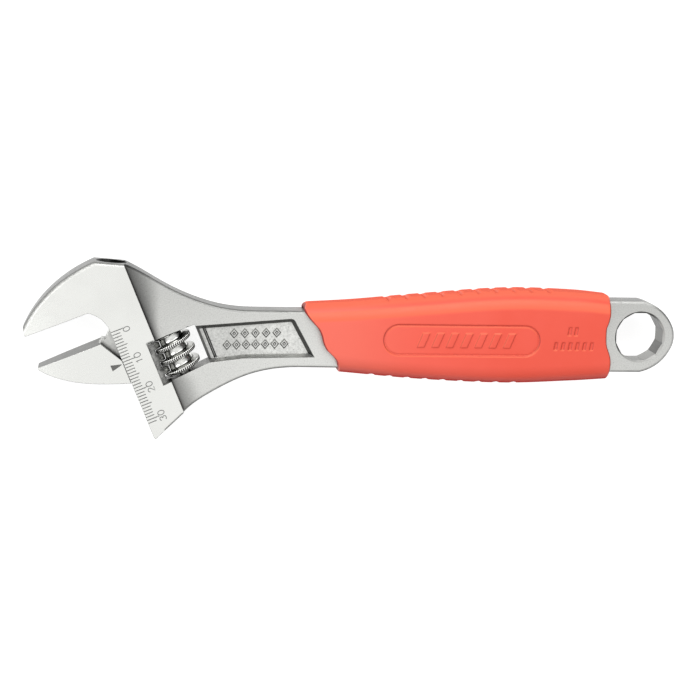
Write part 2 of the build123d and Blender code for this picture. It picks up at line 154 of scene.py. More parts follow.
# ---------------------------------------------------------------- node helper
class Look:
    """One procedural material. Most methods add nodes and return the socket with their result."""

    def __init__(self, name, metallic=0.0):
        self.material = bpy.data.materials.new(name)
        self.material.use_nodes = True
        self.tree = self.material.node_tree
        self.shader = self.tree.nodes["Principled BSDF"]
        self.shader.inputs["Metallic"].default_value = metallic
        coordinates = self.add("ShaderNodeTexCoord")
        self.point = coordinates.outputs["Object"]
        self.normal = coordinates.outputs["Normal"]

    def add(self, kind, **settings):
        """A new node with its settings made."""
        node = self.tree.nodes.new(kind)
        for name, value in settings.items():
            setattr(node, name, value)
        return node

    def wire(self, socket, value):
        """Links another node's socket to this one, or sets it to a plain value."""
        if isinstance(value, bpy.types.NodeSocket):
            self.tree.links.new(value, socket)
        else:
            socket.default_value = value

    def millimetres(self, origin, turn=0.0):
        """The surface point in millimetres from origin, in axes turned about Z."""
        node = self.add("ShaderNodeMapping", vector_type="TEXTURE")
        self.wire(node.inputs["Vector"], self.point)
        node.inputs["Location"].default_value = origin
        node.inputs["Rotation"].default_value = (0, 0, turn)
        node.inputs["Scale"].default_value = (MM, MM, MM)
        return node.outputs["Vector"]

    def split(self, vector):
        """The three parts of a vector."""
        node = self.add("ShaderNodeSeparateXYZ")
        self.wire(node.inputs[0], vector)
        return node.outputs["X"], node.outputs["Y"], node.outputs["Z"]

    def math(self, operation, first, second=0.0, third=0.0):
        """Result of one arithmetic step."""
        node = self.add("ShaderNodeMath", operation=operation)
        for socket, value in zip(node.inputs, (first, second, third)):
            self.wire(socket, value)
        return node.outputs[0]

    def size(self, value):
        """The value without its sign."""
        return self.math("ABSOLUTE", value)

    def reach(self, first, second):
        """Distance from the origin of a point with these two coordinates."""
        squares = self.math("ADD", self.math("MULTIPLY", first, first), self.math("MULTIPLY", second, second))
        return self.math("SQRT", squares)

    def all(self, *masks):
        """Product of several masks or factors."""
        result = masks[0]
        for mask in masks[1:]:
            result = self.math("MULTIPLY", result, mask)
        return result

    def either(self, first, second):
        """The larger of two masks."""
        return self.math("MAXIMUM", first, second)

    def unless(self, mask):
        """Mask of everything that another mask leaves out."""
        return self.math("SUBTRACT", 1.0, mask)

    def step(self, value, low, high, before=0.0, after=1.0):
        """Smooth change from before, below low, to after, above high."""
        node = self.add("ShaderNodeMapRange", interpolation_type="SMOOTHSTEP")
        for name, number in (("Value", value), ("From Min", low), ("From Max", high),
                             ("To Min", before), ("To Max", after)):
            self.wire(node.inputs[name], number)
        return node.outputs["Result"]

    def below(self, value, low, high):
        """Mask that is 1 below low and 0 above high."""
        return self.step(value, low, high, 1.0, 0.0)

    def within(self, value, low, high, soft=0.05):
        """Mask that is 1 between low and high."""
        return self.all(self.step(value, low - soft, low), self.below(value, high, high + soft))

    def spread(self, noise, low, high):
        """A noise's usual range stretched to run from low to high."""
        return self.step(noise, 0.3, 0.7, low, high)

    def mix(self, factor, first, second):
        """The first number where factor is 0 and the second where it is 1."""
        node = self.add("ShaderNodeMix", data_type="FLOAT")
        self.wire(node.inputs[0], factor)
        self.wire(node.inputs[2], first)
        self.wire(node.inputs[3], second)
        return node.outputs[0]

    def mix_vector(self, factor, first, second):
        """Like mix, for vectors."""
        node = self.add("ShaderNodeMix", data_type="VECTOR")
        self.wire(node.inputs[0], factor)
        self.wire(node.inputs[4], first)
        self.wire(node.inputs[5], second)
        return node.outputs[1]

    def mix_colour(self, factor, first, second):
        """Like mix, for colours."""
        node = self.add("ShaderNodeMix", data_type="RGBA")
        self.wire(node.inputs[0], factor)
        self.wire(node.inputs[6], first)
        self.wire(node.inputs[7], second)
        return node.outputs[2]

    def dim(self, shade, mask, factor):
        """The shade multiplied by a factor inside a mask."""
        return self.math("MULTIPLY", shade, self.mix(mask, 1.0, factor))

    def noise(self, vector, scale, detail=2.0, roughness=0.5):
        """Cloudy noise around one half."""
        node = self.add("ShaderNodeTexNoise")
        self.wire(node.inputs["Vector"], vector)
        node.inputs["Scale"].default_value = scale
        node.inputs["Detail"].default_value = detail
        node.inputs["Roughness"].default_value = roughness
        return node.outputs["Fac"]

    def stretched(self, vector, scale):
        """The vector scaled by a different amount along each axis, for grain with a direction."""
        node = self.add("ShaderNodeVectorMath", operation="MULTIPLY")
        self.wire(node.inputs[0], vector)
        node.inputs[1].default_value = scale
        return node.outputs[0]

    def grey(self, value):
        """A value as the steel's nearly neutral colour."""
        node = self.add("ShaderNodeVectorMath", operation="SCALE")
        node.inputs[0].default_value = STEEL_TINT
        self.wire(node.inputs["Scale"], value)
        return node.outputs[0]

    def rounded(self, radius):
        """Normals of the surface with every edge slightly rounded."""
        bevel = self.add("ShaderNodeBevel", samples=6)
        bevel.inputs["Radius"].default_value = radius
        return bevel.outputs[0]

    def edges(self, rounded_normal):
        """Mask of the places where rounded normals leave the plain ones."""
        plain = self.add("ShaderNodeNewGeometry").outputs["Normal"]
        agreement = self.add("ShaderNodeVectorMath", operation="DOT_PRODUCT")
        self.wire(agreement.inputs[0], rounded_normal)
        self.wire(agreement.inputs[1], plain)
        return self.step(self.unless(agreement.outputs["Value"]), 0.02, 0.2)

    def open_sky(self, distance):
        """Mask that is 1 on open faces and falls to 0 in the inside corners of the piece."""
        node = self.add("ShaderNodeAmbientOcclusion", samples=6, only_local=True)
        node.inputs["Distance"].default_value = distance
        return node.outputs["AO"]

    def bump(self, height, strength, distance, normal=None):
        """Normals with small bumps of the given height."""
        node = self.add("ShaderNodeBump")
        node.inputs["Strength"].default_value = strength
        node.inputs["Distance"].default_value = distance
        self.wire(node.inputs["Height"], height)
        if normal is not None:
            self.wire(node.inputs["Normal"], normal)
        return node.outputs[0]

    def finish(self, colour, roughness, normal):
        """Wires the results to the shader and returns the material."""
        self.wire(self.shader.inputs["Base Color"], colour)
        self.wire(self.shader.inputs["Roughness"], roughness)
        self.wire(self.shader.inputs["Normal"], normal)
        return self.material


class HeadLook(Look):
    """A steel look that also holds its point in both frames and the way its surface faces."""

    def __init__(self, name):
        super().__init__(name, metallic=1.0)
        self.design = self.millimetres(ORIGIN)
        self.head = self.millimetres(place(*HEAD_ORIGIN), HEAD_TILT)
        self.x, self.y, self.z = self.split(self.design)
        self.across, self.along, _ = self.split(self.head)
        self.level = self.size(self.z)
        self.sideways, self.upward, forward = self.split(self.normal)
        self.facing = self.size(forward)

    def polish_marks(self):
        """Fine polishing lines across the head."""
        return self.noise(self.stretched(self.head, (0.25, 6.0, 1.0)), 1.0, 3.0, 0.7)


# ---------------------------------------------------------------- metals
STEEL_TINT = (0.995, 1.0, 0.965)
# Shades of the steel's main faces. The sides' shade, the panel walls' shade and the shade inside the bores
# are painted shade.
POLISHED, SATIN, PAINTED_SIDE_SHADE, PAINTED_PANEL_WALL_SHADE, PAINTED_INSIDE_SHADE, PAINT = 0.90, 0.74, 0.21, 0.12, 0.07, 0.30
JAW_PAINT = 0.18
# Shades of the thin lines along edges, which are painted highlights and painted shade.
BRIGHT_LINE, GREY_LINE, FAINT_LINE, DARK_LINE, BLACK_LINE = 0.86, 0.36, 0.12, 0.06, 0.04
# Where the polished head ends and its hollow blend starts, across the strip.
HEAD_END = 11.6
# The middle of the rack across the strip, the radius of its bore and half the thickness of the web's slot.
RACK_ACROSS = 8.3
RACK_BORE = 4.25
WEB_SLOT = 3.02
# Radius that takes in the ring hole with the bevels at its rims.
HOLE_RIM = 8.6
# Limits of the recessed panels, of the groove at their end, and of the strip beside the worm's window.
PANEL_X, PANEL_Y = (-147.5, -104.0), (-9.7, 6.0)
PANEL_START = 24.6
GROOVE_ACROSS = (26.2, 28.4)
WINDOW_ALONG, WINDOW_ACROSS = (-21.0, -6.0), (24.0, 26.4)
# Limits of the scale's marks and of the jaw's index mark, across and along the strip.
SCALE_MARKS = (0.0, 3.5, -31.6, 0.6)
INDEX_MARK = (-4.1, -0.2, -11.8, -9.2)


def marked(look, low_across, high_across, low_along, high_along):
    """Mask of the paint in the marks that are cut a little below the head's front face."""
    return look.all(
        look.within(look.z, HEAD_LEVEL - 0.16, HEAD_LEVEL - 0.05, 0.02),
        look.within(look.across, low_across, high_across),
        look.within(look.along, low_along, high_along),
        look.step(look.facing, 0.3, 0.6),
    )


def panel_masks(look):
    """Masks of the recessed panels' floors and of their walls."""
    inside = look.all(
        look.within(look.x, *PANEL_X),
        look.within(look.y, *PANEL_Y),
        look.step(look.across, PANEL_START, PANEL_START + 0.2),
    )
    floor = look.all(inside, look.below(look.level, 3.12, 3.3), look.step(look.facing, 0.6, 0.9))
    wall = look.all(inside, look.within(look.level, 1.9, 4.5), look.below(look.facing, 0.88, 0.95))
    return floor, wall


def machined_mask(look):
    """Mask of the rack's round bore and of the slot that the jaw's web slides in."""
    from_middle = look.reach(look.math("SUBTRACT", look.across, RACK_ACROSS), look.z)
    bore = look.below(from_middle, RACK_BORE, RACK_BORE + 0.07)
    slot = look.all(
        look.below(look.level, WEB_SLOT, WEB_SLOT + 0.04),
        look.within(look.across, -5.6, 8.5),
        look.below(look.along, 11.8, 12.2),
    )
    return look.either(bore, slot)


def painted_hollow_shade(look):
    """Painted shade in the hollow beside the polished head, wide at the crown and narrow at the heel."""
    width = look.step(look.along, -8.0, 13.0, 2.8, 10.0)
    width = look.math("ADD", width, look.step(look.along, -24.0, -16.0, 6.0, 0.0))
    share = look.math("DIVIDE", look.math("SUBTRACT", look.across, HEAD_END), width)
    hollow = look.all(look.below(share, 0.0, 1.0), look.step(look.across, HEAD_END, HEAD_END + 0.15))
    return look.mix(hollow, 1.0, look.step(look.along, -24.0, -12.0, 0.45, 0.28))


def satin_shade(look, pits, panel_floor, ring_straight):
    """Shade of the forging's satin faces with their pits, and painted shade on the sides, in the hollows, on
    the undersides and on the upper shoulders.
    """
    shade = look.mix(look.step(look.facing, 0.35, 0.92), PAINTED_SIDE_SHADE, SATIN)
    # Painted shade: darker towards the head, towards the ring and towards the top.
    shade = look.all(
        shade,
        look.step(look.x, -165.0, -105.0, 0.92, 1.04),
        look.step(look.x, -60.0, -20.0, 1.0, 0.9),
        look.step(look.y, -12.0, 16.0, 1.06, 0.92),
    )
    shade = look.dim(shade, pits, 0.82)
    grain = look.noise(look.design, 2.6, 3.0, 0.6)
    shade = look.all(shade, painted_hollow_shade(look), look.spread(grain, 0.92, 1.08))
    # Painted shade on the undersides, apart from the panel floors.
    shaded_underside = look.all(look.below(look.upward, -0.8, -0.3), look.unless(panel_floor))
    shade = look.dim(shade, shaded_underside, 0.2)
    # Painted shade on the upward facing shoulders beyond the polished head, apart from the ring.
    shaded_shoulder = look.all(
        look.within(look.facing, 0.5, 0.97, 0.08),
        look.step(look.upward, 0.1, 0.35),
        look.step(look.across, HEAD_END - 0.2, HEAD_END + 0.2),
        look.unless(ring_straight),
    )
    return look.dim(shade, shaded_shoulder, 0.5)


def hole_wall_shade(look):
    """Shade of the ring hole's flats, which differ a little from one to the next, with painted light on the
    flats that face up.
    """
    turn = look.math("ARCTAN2", look.upward, look.sideways)
    flat_by_flat = look.math("COSINE", look.math("MULTIPLY", turn, 6.0))
    return look.math("MULTIPLY_ADD", flat_by_flat, 0.05, look.step(look.upward, 0.3, 1.0, 0.17, 0.36))


def panel_shade(look, shade, floor, wall, mottle, pits):
    """Adds the panels' speckled floors, and painted shade on their walls, lighter where they face up, and on
    the walls of the groove at the end near the window, by the way they face sideways.
    """
    speckled = look.all(
        look.spread(mottle, 0.58, 0.78),
        look.mix(pits, 1.0, 0.55),
        look.step(look.x, -134.0, -118.0, 0.98, 1.2),
    )
    shade = look.mix(floor, shade, speckled)
    plain_wall = look.step(look.upward, 0.0, 0.3, PAINTED_PANEL_WALL_SHADE, 0.5)
    groove_wall = look.step(look.sideways, -0.2, 0.2, 0.50, PAINTED_PANEL_WALL_SHADE)
    groove = look.within(look.across, *GROOVE_ACROSS)
    return look.mix(wall, shade, look.mix(groove, plain_wall, groove_wall))


def window_shade(look, shade, beside_window, window_bevel):
    """Adds painted shade beside the worm's window: on the lowered strip, darker towards the window, and on
    the bevel.
    """
    strip = look.all(beside_window, look.below(look.level, SHANK_LEVEL - 0.1, SHANK_LEVEL - 0.05))
    shade = look.dim(shade, strip, look.step(look.across, 25.1, 26.3, 0.6, 0.85))
    return look.mix(window_bevel, shade, 0.15)


def edge_shade(look, shade, edge, polished, inside, lean):
    """Adds painted highlights and painted shade as thin lines along the edges: on the head's outline bright
    above and dark below, elsewhere lighter where the edge faces up, and a black line under the polished
    head's lower edges.
    """
    on_head = look.either(look.step(look.along, 8.0, 10.0), look.below(look.across, -1.5, -1.0))
    plain_line = look.step(look.upward, 0.3, 0.7, FAINT_LINE, GREY_LINE)
    head_line = look.step(lean, -0.5, -0.1, DARK_LINE, BRIGHT_LINE)
    shade = look.mix(look.all(edge, look.unless(inside)), shade, look.mix(on_head, plain_line, head_line))
    wide_lean = look.split(look.rounded(0.001))[1]
    low_edge = look.below(wide_lean, -0.2, -0.05)
    return look.mix(look.all(polished, low_edge, look.step(look.across, 3.6, 4.4)), shade, BLACK_LINE)


def forged_steel():
    """Satin forging with polished flats on its head and blasted panel floors, with painted shade inside its
    machined bores and in its corners, and painted light and shade on its edges and chamfers.
    """
    look = HeadLook("forged_steel_look")
    flat = look.step(look.facing, 0.93, 0.985)
    polished = look.all(
        flat,
        look.below(look.across, HEAD_END - 0.05, HEAD_END + 0.15),
        look.step(look.level, 3.4, 3.8),
    )
    panel_floor, panel_wall = panel_masks(look)
    inside = machined_mask(look)
    by_hole = look.below(look.reach(look.x, look.y), HOLE_RIM, HOLE_RIM + 0.3)
    ring_straight = look.all(look.step(look.x, -30.0, -20.0), look.below(look.x, 1.0, 8.0))
    ring_top = look.all(ring_straight, look.step(look.upward, 0.2, 0.4))
    chamfer = look.all(look.either(by_hole, ring_top), look.within(look.facing, 0.4, 0.9))
    beside_window = look.all(
        look.within(look.along, *WINDOW_ALONG, 0.5),
        look.within(look.across, *WINDOW_ACROSS),
    )
    window_bevel = look.all(beside_window, look.within(look.facing, 0.5, 0.93))

    broad = look.noise(look.design, 0.06, 3.0)
    fine = look.noise(look.design, 5.0, 2.0, 0.6)
    grind = look.polish_marks()
    mottle = look.noise(look.design, 1.5, 4.0, 0.7)
    pits = look.step(look.noise(look.design, 2.2, 2.0, 0.5), 0.62, 0.72)
    soft_normal = look.rounded(0.00028)
    lean = look.split(soft_normal)[1]
    edge = look.all(look.edges(soft_normal), look.unless(by_hole))

    shade = satin_shade(look, pits, panel_floor, ring_straight)
    hole_wall = look.all(by_hole, look.below(look.facing, 0.2, 0.4))
    shade = look.mix(hole_wall, shade, hole_wall_shade(look))
    shade = panel_shade(look, shade, panel_floor, panel_wall, mottle, pits)
    shade = window_shade(look, shade, beside_window, window_bevel)
    shade = look.mix(polished, shade, look.spread(broad, POLISHED - 0.02, POLISHED + 0.02))
    # Painted shade inside the rack's bore and the web's slot.
    shade = look.mix(inside, shade, PAINTED_INSIDE_SHADE)
    shade = edge_shade(look, shade, edge, polished, inside, lean)
    # Painted light and shade on the chamfers: lighter where they face the lamps.
    towards_light = look.math("SUBTRACT", look.upward, look.sideways)
    shade = look.mix(chamfer, shade, look.step(towards_light, -0.4, 0.3, 0.12, 0.6))
    # Painted shade in the inside corners.
    shade = look.math("MULTIPLY", shade, look.step(look.open_sky(0.0016), 0.35, 0.95, 0.35, 1.0))
    shade = look.mix(marked(look, *SCALE_MARKS), shade, PAINT)
    look.wire(look.shader.inputs["Metallic"], look.mix(look.either(chamfer, window_bevel), 1.0, 0.3))

    rough = look.mix(look.step(look.facing, 0.35, 0.92), 0.34, 0.42)
    rough = look.mix(panel_floor, rough, 0.5)
    rough = look.mix(polished, rough, look.spread(grind, 0.22, 0.30))
    rough = look.mix(edge, rough, 0.3)
    rough = look.math("ADD", rough, look.spread(broad, -0.03, 0.05))

    height = look.all(look.unless(polished), look.mix(panel_floor, fine, mottle))
    height = look.mix(polished, height, look.math("MULTIPLY", grind, 0.05))
    edge_normal = look.mix_vector(by_hole, soft_normal, look.normal)
    normal = look.bump(height, 0.35, 0.00012, edge_normal)
    return look.finish(look.grey(shade), rough, normal)


def jaw_steel():
    """Moving jaw: polished flats, ground gripping face and machined rack, with painted shade on its
    underside, in its corners and along its lower and hidden edges, and painted highlights along its upper
    edges.
    """
    look = HeadLook("jaw_steel_look")
    flat = look.all(look.step(look.facing, 0.93, 0.985), look.step(look.level, 3.4, 3.8))
    web = look.below(look.level, 2.8, 3.1)
    web_face = look.all(web, look.step(look.across, -5.0, -4.4))
    rack = look.all(look.step(look.across, 3.6, 4.4), look.below(look.along, -7.0, -5.0))
    broad = look.noise(look.head, 0.08, 3.0)
    stain = look.noise(look.head, 0.5, 3.0, 0.6)
    rack_mottle = look.noise(look.head, 0.9, 3.0, 0.6)
    grind = look.noise(look.stretched(look.head, (0.3, 0.3, 5.0)), 1.0, 3.0, 0.7)
    polish = look.polish_marks()
    soft_normal = look.rounded(0.00024)
    lean = look.split(soft_normal)[1]
    edge = look.edges(soft_normal)
    hidden_edge = look.all(edge, look.either(web, look.below(look.z, -3.0, -1.0)))

    shade = look.mix(flat, look.spread(grind, 0.18, 0.27), POLISHED)
    shade = look.mix(web_face, shade, look.spread(stain, 0.80, 0.95))
    # The rack is darker and mottled.
    shade = look.mix(rack, shade, look.spread(rack_mottle, 0.10, 0.42))
    # Painted shade on the underside, painted highlights and painted shade along the edges, and painted shade
    # along the hidden edges and in the inside corners.
    shade = look.math("MULTIPLY", shade, look.step(look.upward, -0.7, -0.2, 0.12, 1.0))
    shade = look.mix(edge, shade, look.step(lean, -0.5, -0.1, DARK_LINE, 0.80))
    shade = look.mix(hidden_edge, shade, FAINT_LINE)
    shade = look.mix(look.all(flat, look.below(lean, -0.28, -0.08)), shade, 0.4)
    shade = look.math("MULTIPLY", shade, look.step(look.open_sky(0.0013), 0.4, 0.97, 0.12, 1.0))
    shade = look.mix(marked(look, *INDEX_MARK), shade, JAW_PAINT)

    rough = look.mix(flat, 0.4, look.spread(polish, 0.22, 0.30))
    rough = look.math("ADD", rough, look.spread(broad, -0.02, 0.04))
    height = look.mix(flat, grind, look.math("MULTIPLY", polish, 0.06))
    normal = look.bump(height, 0.25, 0.0001, soft_normal)
    return look.finish(look.grey(shade), rough, normal)


# The worm's axis, its middle along that axis, and the thread's lead and starting level.
WORM_ACROSS, WORM_MIDDLE = 16.5, -13.95
WORM_LEAD = 4.1
WORM_HALF = 6.2
THREAD_LEVEL = 1.9
KNURL_TEETH = 54


def worm_chrome():
    """Chromed thread with painted shade in its inside corners and in the serrations of its crest."""
    look = Look("worm_chrome_look", metallic=1.0)
    point = look.millimetres(head_place(WORM_ACROSS, WORM_MIDDLE), HEAD_TILT)
    x, level, z = look.split(point)
    turns = look.math("DIVIDE", look.math("ARCTAN2", z, look.math("MULTIPLY", x, -1.0)), math.tau)
    thread = look.math("MULTIPLY_ADD", turns, WORM_LEAD, THREAD_LEVEL - WORM_LEAD / 2)
    climb = look.math("SUBTRACT", level, thread)
    signed = look.math("SUBTRACT", look.math("FLOORED_MODULO", climb, WORM_LEAD), WORM_LEAD / 2)
    offset = look.size(signed)
    tooth = look.math("FLOORED_MODULO", look.math("MULTIPLY", turns, KNURL_TEETH), 1.0)
    cut = look.all(look.below(look.size(look.math("SUBTRACT", tooth, 0.5)), 0.2, 0.28),
                   look.below(signed, 0.35, 0.45))
    crest = look.below(offset, 0.45, 0.62)
    root = look.step(offset, 0.85, 1.1)
    corner = look.within(offset, 1.0, 1.12, 0.08)
    end = look.step(look.size(level), WORM_HALF - 0.08, WORM_HALF - 0.02)
    smear = look.noise(point, 0.8, 3.0, 0.6)
    spots = look.noise(point, 3.5, 3.0, 0.6)

    shade = look.mix(root, look.spread(smear, 0.55, 0.70), look.step(smear, 0.3, 0.6, 0.70, 0.92))
    # Painted shade in the inside corners and in the crest's serrations.
    shade = look.mix(corner, shade, 0.12)
    shade = look.mix(crest, shade, 0.98)
    shade = look.mix(look.all(crest, cut), shade, 0.05)
    shade = look.mix(end, shade, 0.5)
    rough = look.mix(crest, look.spread(smear, 0.10, 0.20), 0.2)
    rough = look.mix(root, rough, 0.14)
    return look.finish(look.grey(shade), rough, look.bump(spots, 0.06, 0.00004))


def turned_steel(name, shade_low, shade_high, roughness):
    """Plain drawn or turned steel with fine streaks."""
    look = Look(name, metallic=1.0)
    head = look.millimetres(place(*HEAD_ORIGIN), HEAD_TILT)
    streak = look.noise(look.stretched(head, (1.0, 8.0, 1.0)), 1.0, 3.0, 0.6)
    patch = look.noise(head, 0.8, 3.0, 0.6)
    shade = look.mix(patch, shade_low, shade_high)
    rough = look.spread(streak, roughness - 0.06, roughness + 0.08)
    return look.finish(look.grey(shade), rough, look.bump(streak, 0.2, 0.00005))


def painted_mark():
    """Dark paint of the scale's figures."""
    look = Look("etched_figure_look")
    head = look.millimetres(place(*HEAD_ORIGIN), HEAD_TILT)
    patch = look.noise(head, 3.0, 3.0, 0.6)
    shade = look.spread(patch, 0.13, 0.24)
    rough = look.spread(patch, 0.45, 0.65)
    return look.finish(look.grey(shade), rough, look.bump(patch, 0.1, 0.00002))


# ---------------------------------------------------------------- sleeve materials
# The sleeve's red, and copies of it for painted light and shade: a painted sheen towards the front end, a
# painted highlight on the upper shoulders, painted light on the upper sides, and painted shade on the top,
# the underside, the ends, the inside corners, along the edges and on the cut ends.
RED, RED_LIGHT = (0.90, 0.104, 0.062, 1), (0.94, 0.126, 0.082, 1)
RED_FRONT_SHEEN = (0.96, 0.168, 0.115, 1)
RED_SHOULDER_HIGHLIGHT = (0.98, 0.162, 0.082, 1)
RED_UPPER_SIDE_LIT, RED_TOP_SHADE = (0.87, 0.165, 0.098, 1), (0.78, 0.140, 0.090, 1)
RED_UNDERSIDE_SHADE = (0.50, 0.050, 0.042, 1)
RED_END_SHADE = (0.36, 0.034, 0.026, 1)
RED_CORNER_SHADE = (0.40, 0.03, 0.022, 1)
RED_EDGE_SHADE = (0.62, 0.06, 0.04, 1)
RIM_SHADE_DARK, RIM_SHADE_LIGHT = (0.26, 0.028, 0.020, 1), (0.42, 0.045, 0.030, 1)


def sleeve_rubber():
    """Red-orange soft moulding with a satin skin and a fine grain, with painted light and shade by the way
    its surface faces, in its corners and along its edges.
    """
    look = Look("sleeve_rubber_look")
    design = look.millimetres(ORIGIN)
    broad = look.noise(design, 0.035, 3.0, 0.5)
    patch = look.noise(design, 0.35, 3.0, 0.6)
    grain = look.noise(design, 3.2, 3.0, 0.6)
    sideways, upward, _ = look.split(look.normal)
    steep = look.size(upward)
    soft_normal = look.rounded(0.00035)
    # Painted sheen, painted highlight, painted light and painted shade by the way the surface faces, and
    # painted shade in corners and along edges.
    layers = [
        (look.below(look.split(design)[0], -100.0, -68.0), RED_FRONT_SHEEN),
        (look.within(upward, 0.2, 0.5, 0.15), RED_SHOULDER_HIGHLIGHT),
        (look.step(upward, 0.6, 0.85), RED_UPPER_SIDE_LIT),
        (look.step(upward, 0.97, 1.0), RED_TOP_SHADE),
        (look.below(upward, -0.98, -0.45), RED_UNDERSIDE_SHADE),
        (look.all(look.step(look.size(sideways), 0.25, 0.75), look.below(steep, 0.45, 0.65)), RED_END_SHADE),
        (look.below(look.open_sky(0.0012), 0.4, 1.0), RED_CORNER_SHADE),
        (look.all(look.edges(soft_normal), look.step(patch, 0.4, 0.7)), RED_EDGE_SHADE),
    ]
    colour = look.mix_colour(look.step(broad, 0.3, 0.7), RED, RED_LIGHT)
    for mask, layer in layers:
        colour = look.mix_colour(mask, colour, layer)
    rough = look.math("ADD", look.spread(patch, 0.40, 0.47), look.spread(grain, -0.03, 0.03))
    look.wire(look.shader.inputs["Specular IOR Level"], look.step(steep, 0.55, 0.88, 0.36, 0.0))
    return look.finish(colour, rough, look.bump(grain, 0.10, 0.00008, soft_normal))


def sleeve_rim_shade():
    """The sleeve's cut ends, painted dark as the shade where they meet the shank."""
    look = Look("sleeve_rim_look")
    design = look.millimetres(ORIGIN)
    patch = look.noise(design, 0.8, 3.0, 0.6)
    colour = look.mix_colour(look.step(patch, 0.3, 0.7), RIM_SHADE_DARK, RIM_SHADE_LIGHT)
    rough = look.spread(patch, 0.5, 0.65)
    return look.finish(colour, rough, look.bump(look.noise(design, 3.2), 0.2, 0.00008))


# ---------------------------------------------------------------- mesh helpers
def finished_mesh(name, bm, where):
    """The mesh with its normals outwards and its points moved from their own frame by where."""
    bmesh.ops.recalc_face_normals(bm, faces=bm.faces[:])
    for vert in bm.verts:
        vert.co = where(*vert.co)
    mesh = bpy.data.meshes.new(name)
    bm.to_mesh(mesh)
    bm.free()
    return mesh


def add_piece(mesh, material, body, smooth=True):
    """Links a mesh as a piece, under the mesh's name, that rides on a body."""
    piece = bpy.data.objects.new(mesh.name, mesh)
    bpy.context.scene.collection.objects.link(piece)
    mesh.materials.append(material)
    for polygon in mesh.polygons:
        polygon.use_smooth = smooth
    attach(piece, body)
    return piece


def join_loops(bm, low, high):
    """Faces between two closed loops of as many points."""
    count = len(low)
    for i in range(count):
        j = (i + 1) % count
        bm.faces.new((low[i], low[j], high[j], high[i]))


def smooth_through(points, at):
    """Value at a place of the smooth curve through (place, value) points."""
    if at <= points[0][0]:
        return points[0][1]
    if at >= points[-1][0]:
        return points[-1][1]
    index = next(i for i in range(len(points) - 1) if at <= points[i + 1][0])
    (x0, y0), (x1, y1) = points[index], points[index + 1]
    before = points[max(index - 1, 0)]
    after = points[min(index + 2, len(points) - 1)]
    slope0 = (y1 - before[1]) / (x1 - before[0])
    slope1 = (after[1] - y0) / (after[0] - x0)
    width = x1 - x0
    t = (at - x0) / width
    return ((2 * t**3 - 3 * t**2 + 1) * y0 + (t**3 - 2 * t**2 + t) * width * slope0
            + (3 * t**2 - 2 * t**3) * y1 + (t**3 - t**2) * width * slope1)


def smooth_step(value, low, high):
    """Smooth change from 0, below low, to 1, above high."""
    t = min(max((value - low) / (high - low), 0.0), 1.0)
    return t * t * (3 - 2 * t)


# ---------------------------------------------------------------- worm
WORM_RADIUS = 6.1
WORM_CORE = 3.9
WORM_BORE = 1.95
# The spring's pocket, which is wider than the pin's bore and ends at POCKET_TOP along the axis.
POCKET_RADIUS = 3.1
POCKET_TOP = -2.2
END_BEVEL = 0.6
BORE_SIDES = 64
# Serrations of the crest, which are cut where the thread's radius is over KNURL_LEVEL.
KNURL_DEPTH = 0.26
KNURL_LEVEL = 5.8
KNURL_SLOPE = 3.4
SAMPLES_PER_TOOTH = 8
# The thread runs past both ends of the drum, so that it can be cut square there.
THREAD_TURNS = 5
THREAD_START = THREAD_LEVEL - 3 * WORM_LEAD
# Half of the thread's profile: distance along the axis from the ridge's middle, and radius.
RIDGE = [
    (0.0, 6.1), (0.28, 6.1), (0.48, 6.08), (0.6, 5.93),
    (0.74, 5.35), (0.9, 4.6), (1.04, 4.08), (1.22, 3.92),
]


def worm_place(across, along, z):
    """A point given from the middle of the worm, in the head frame's directions."""
    return head_place(WORM_ACROSS + across, WORM_MIDDLE + along, z)


def worm_radius(radius, angle, level):
    """Radius of the worm's surface, with its knurled crest and bevelled ends."""
    if radius > KNURL_LEVEL:
        share = (angle * KNURL_TEETH / math.tau) % 1.0
        radius -= KNURL_DEPTH * max(0.0, 1.0 - abs(share - 0.5) * KNURL_SLOPE)
    return min(radius, WORM_RADIUS - max(0.0, abs(level) - (WORM_HALF - END_BEVEL)))


def add_thread(bm):
    """The thread's surface, as a strip of the profile wound round the axis."""
    rising = [(-offset, radius) for offset, radius in reversed(RIDGE[1:])]
    profile = [(-WORM_LEAD / 2, WORM_CORE)] + rising + RIDGE
    around = KNURL_TEETH * SAMPLES_PER_TOOTH
    total = around * THREAD_TURNS
    grid = []
    for step in range(total):
        angle = math.tau * step / around
        level = THREAD_START + WORM_LEAD * step / around
        row = []
        for offset, radius in profile:
            high = level + offset
            r = worm_radius(radius, angle, high)
            row.append(bm.verts.new((-r * math.cos(angle), high, r * math.sin(angle))))
        grid.append(row)
    for step in range(total - 1):
        here, following = grid[step], grid[step + 1]
        for column in range(len(profile) - 1):
            bm.faces.new((here[column], following[column], following[column + 1], here[column + 1]))
        if step + 1 + around < total:
            above, above_following = grid[step + around], grid[step + 1 + around]
            bm.faces.new((here[-1], following[-1], above_following[0], above[0]))


def cut_square(bm, side):
    """Cuts the thread off at one end, and returns the cut's edges."""
    cut = bmesh.ops.bisect_plane(
        bm, geom=bm.verts[:] + bm.edges[:] + bm.faces[:], plane_co=(0, side * WORM_HALF, 0),
        plane_no=(0, side, 0), clear_outer=True, dist=1e-6)
    return [item for item in cut["geom_cut"] if isinstance(item, bmesh.types.BMEdge)]


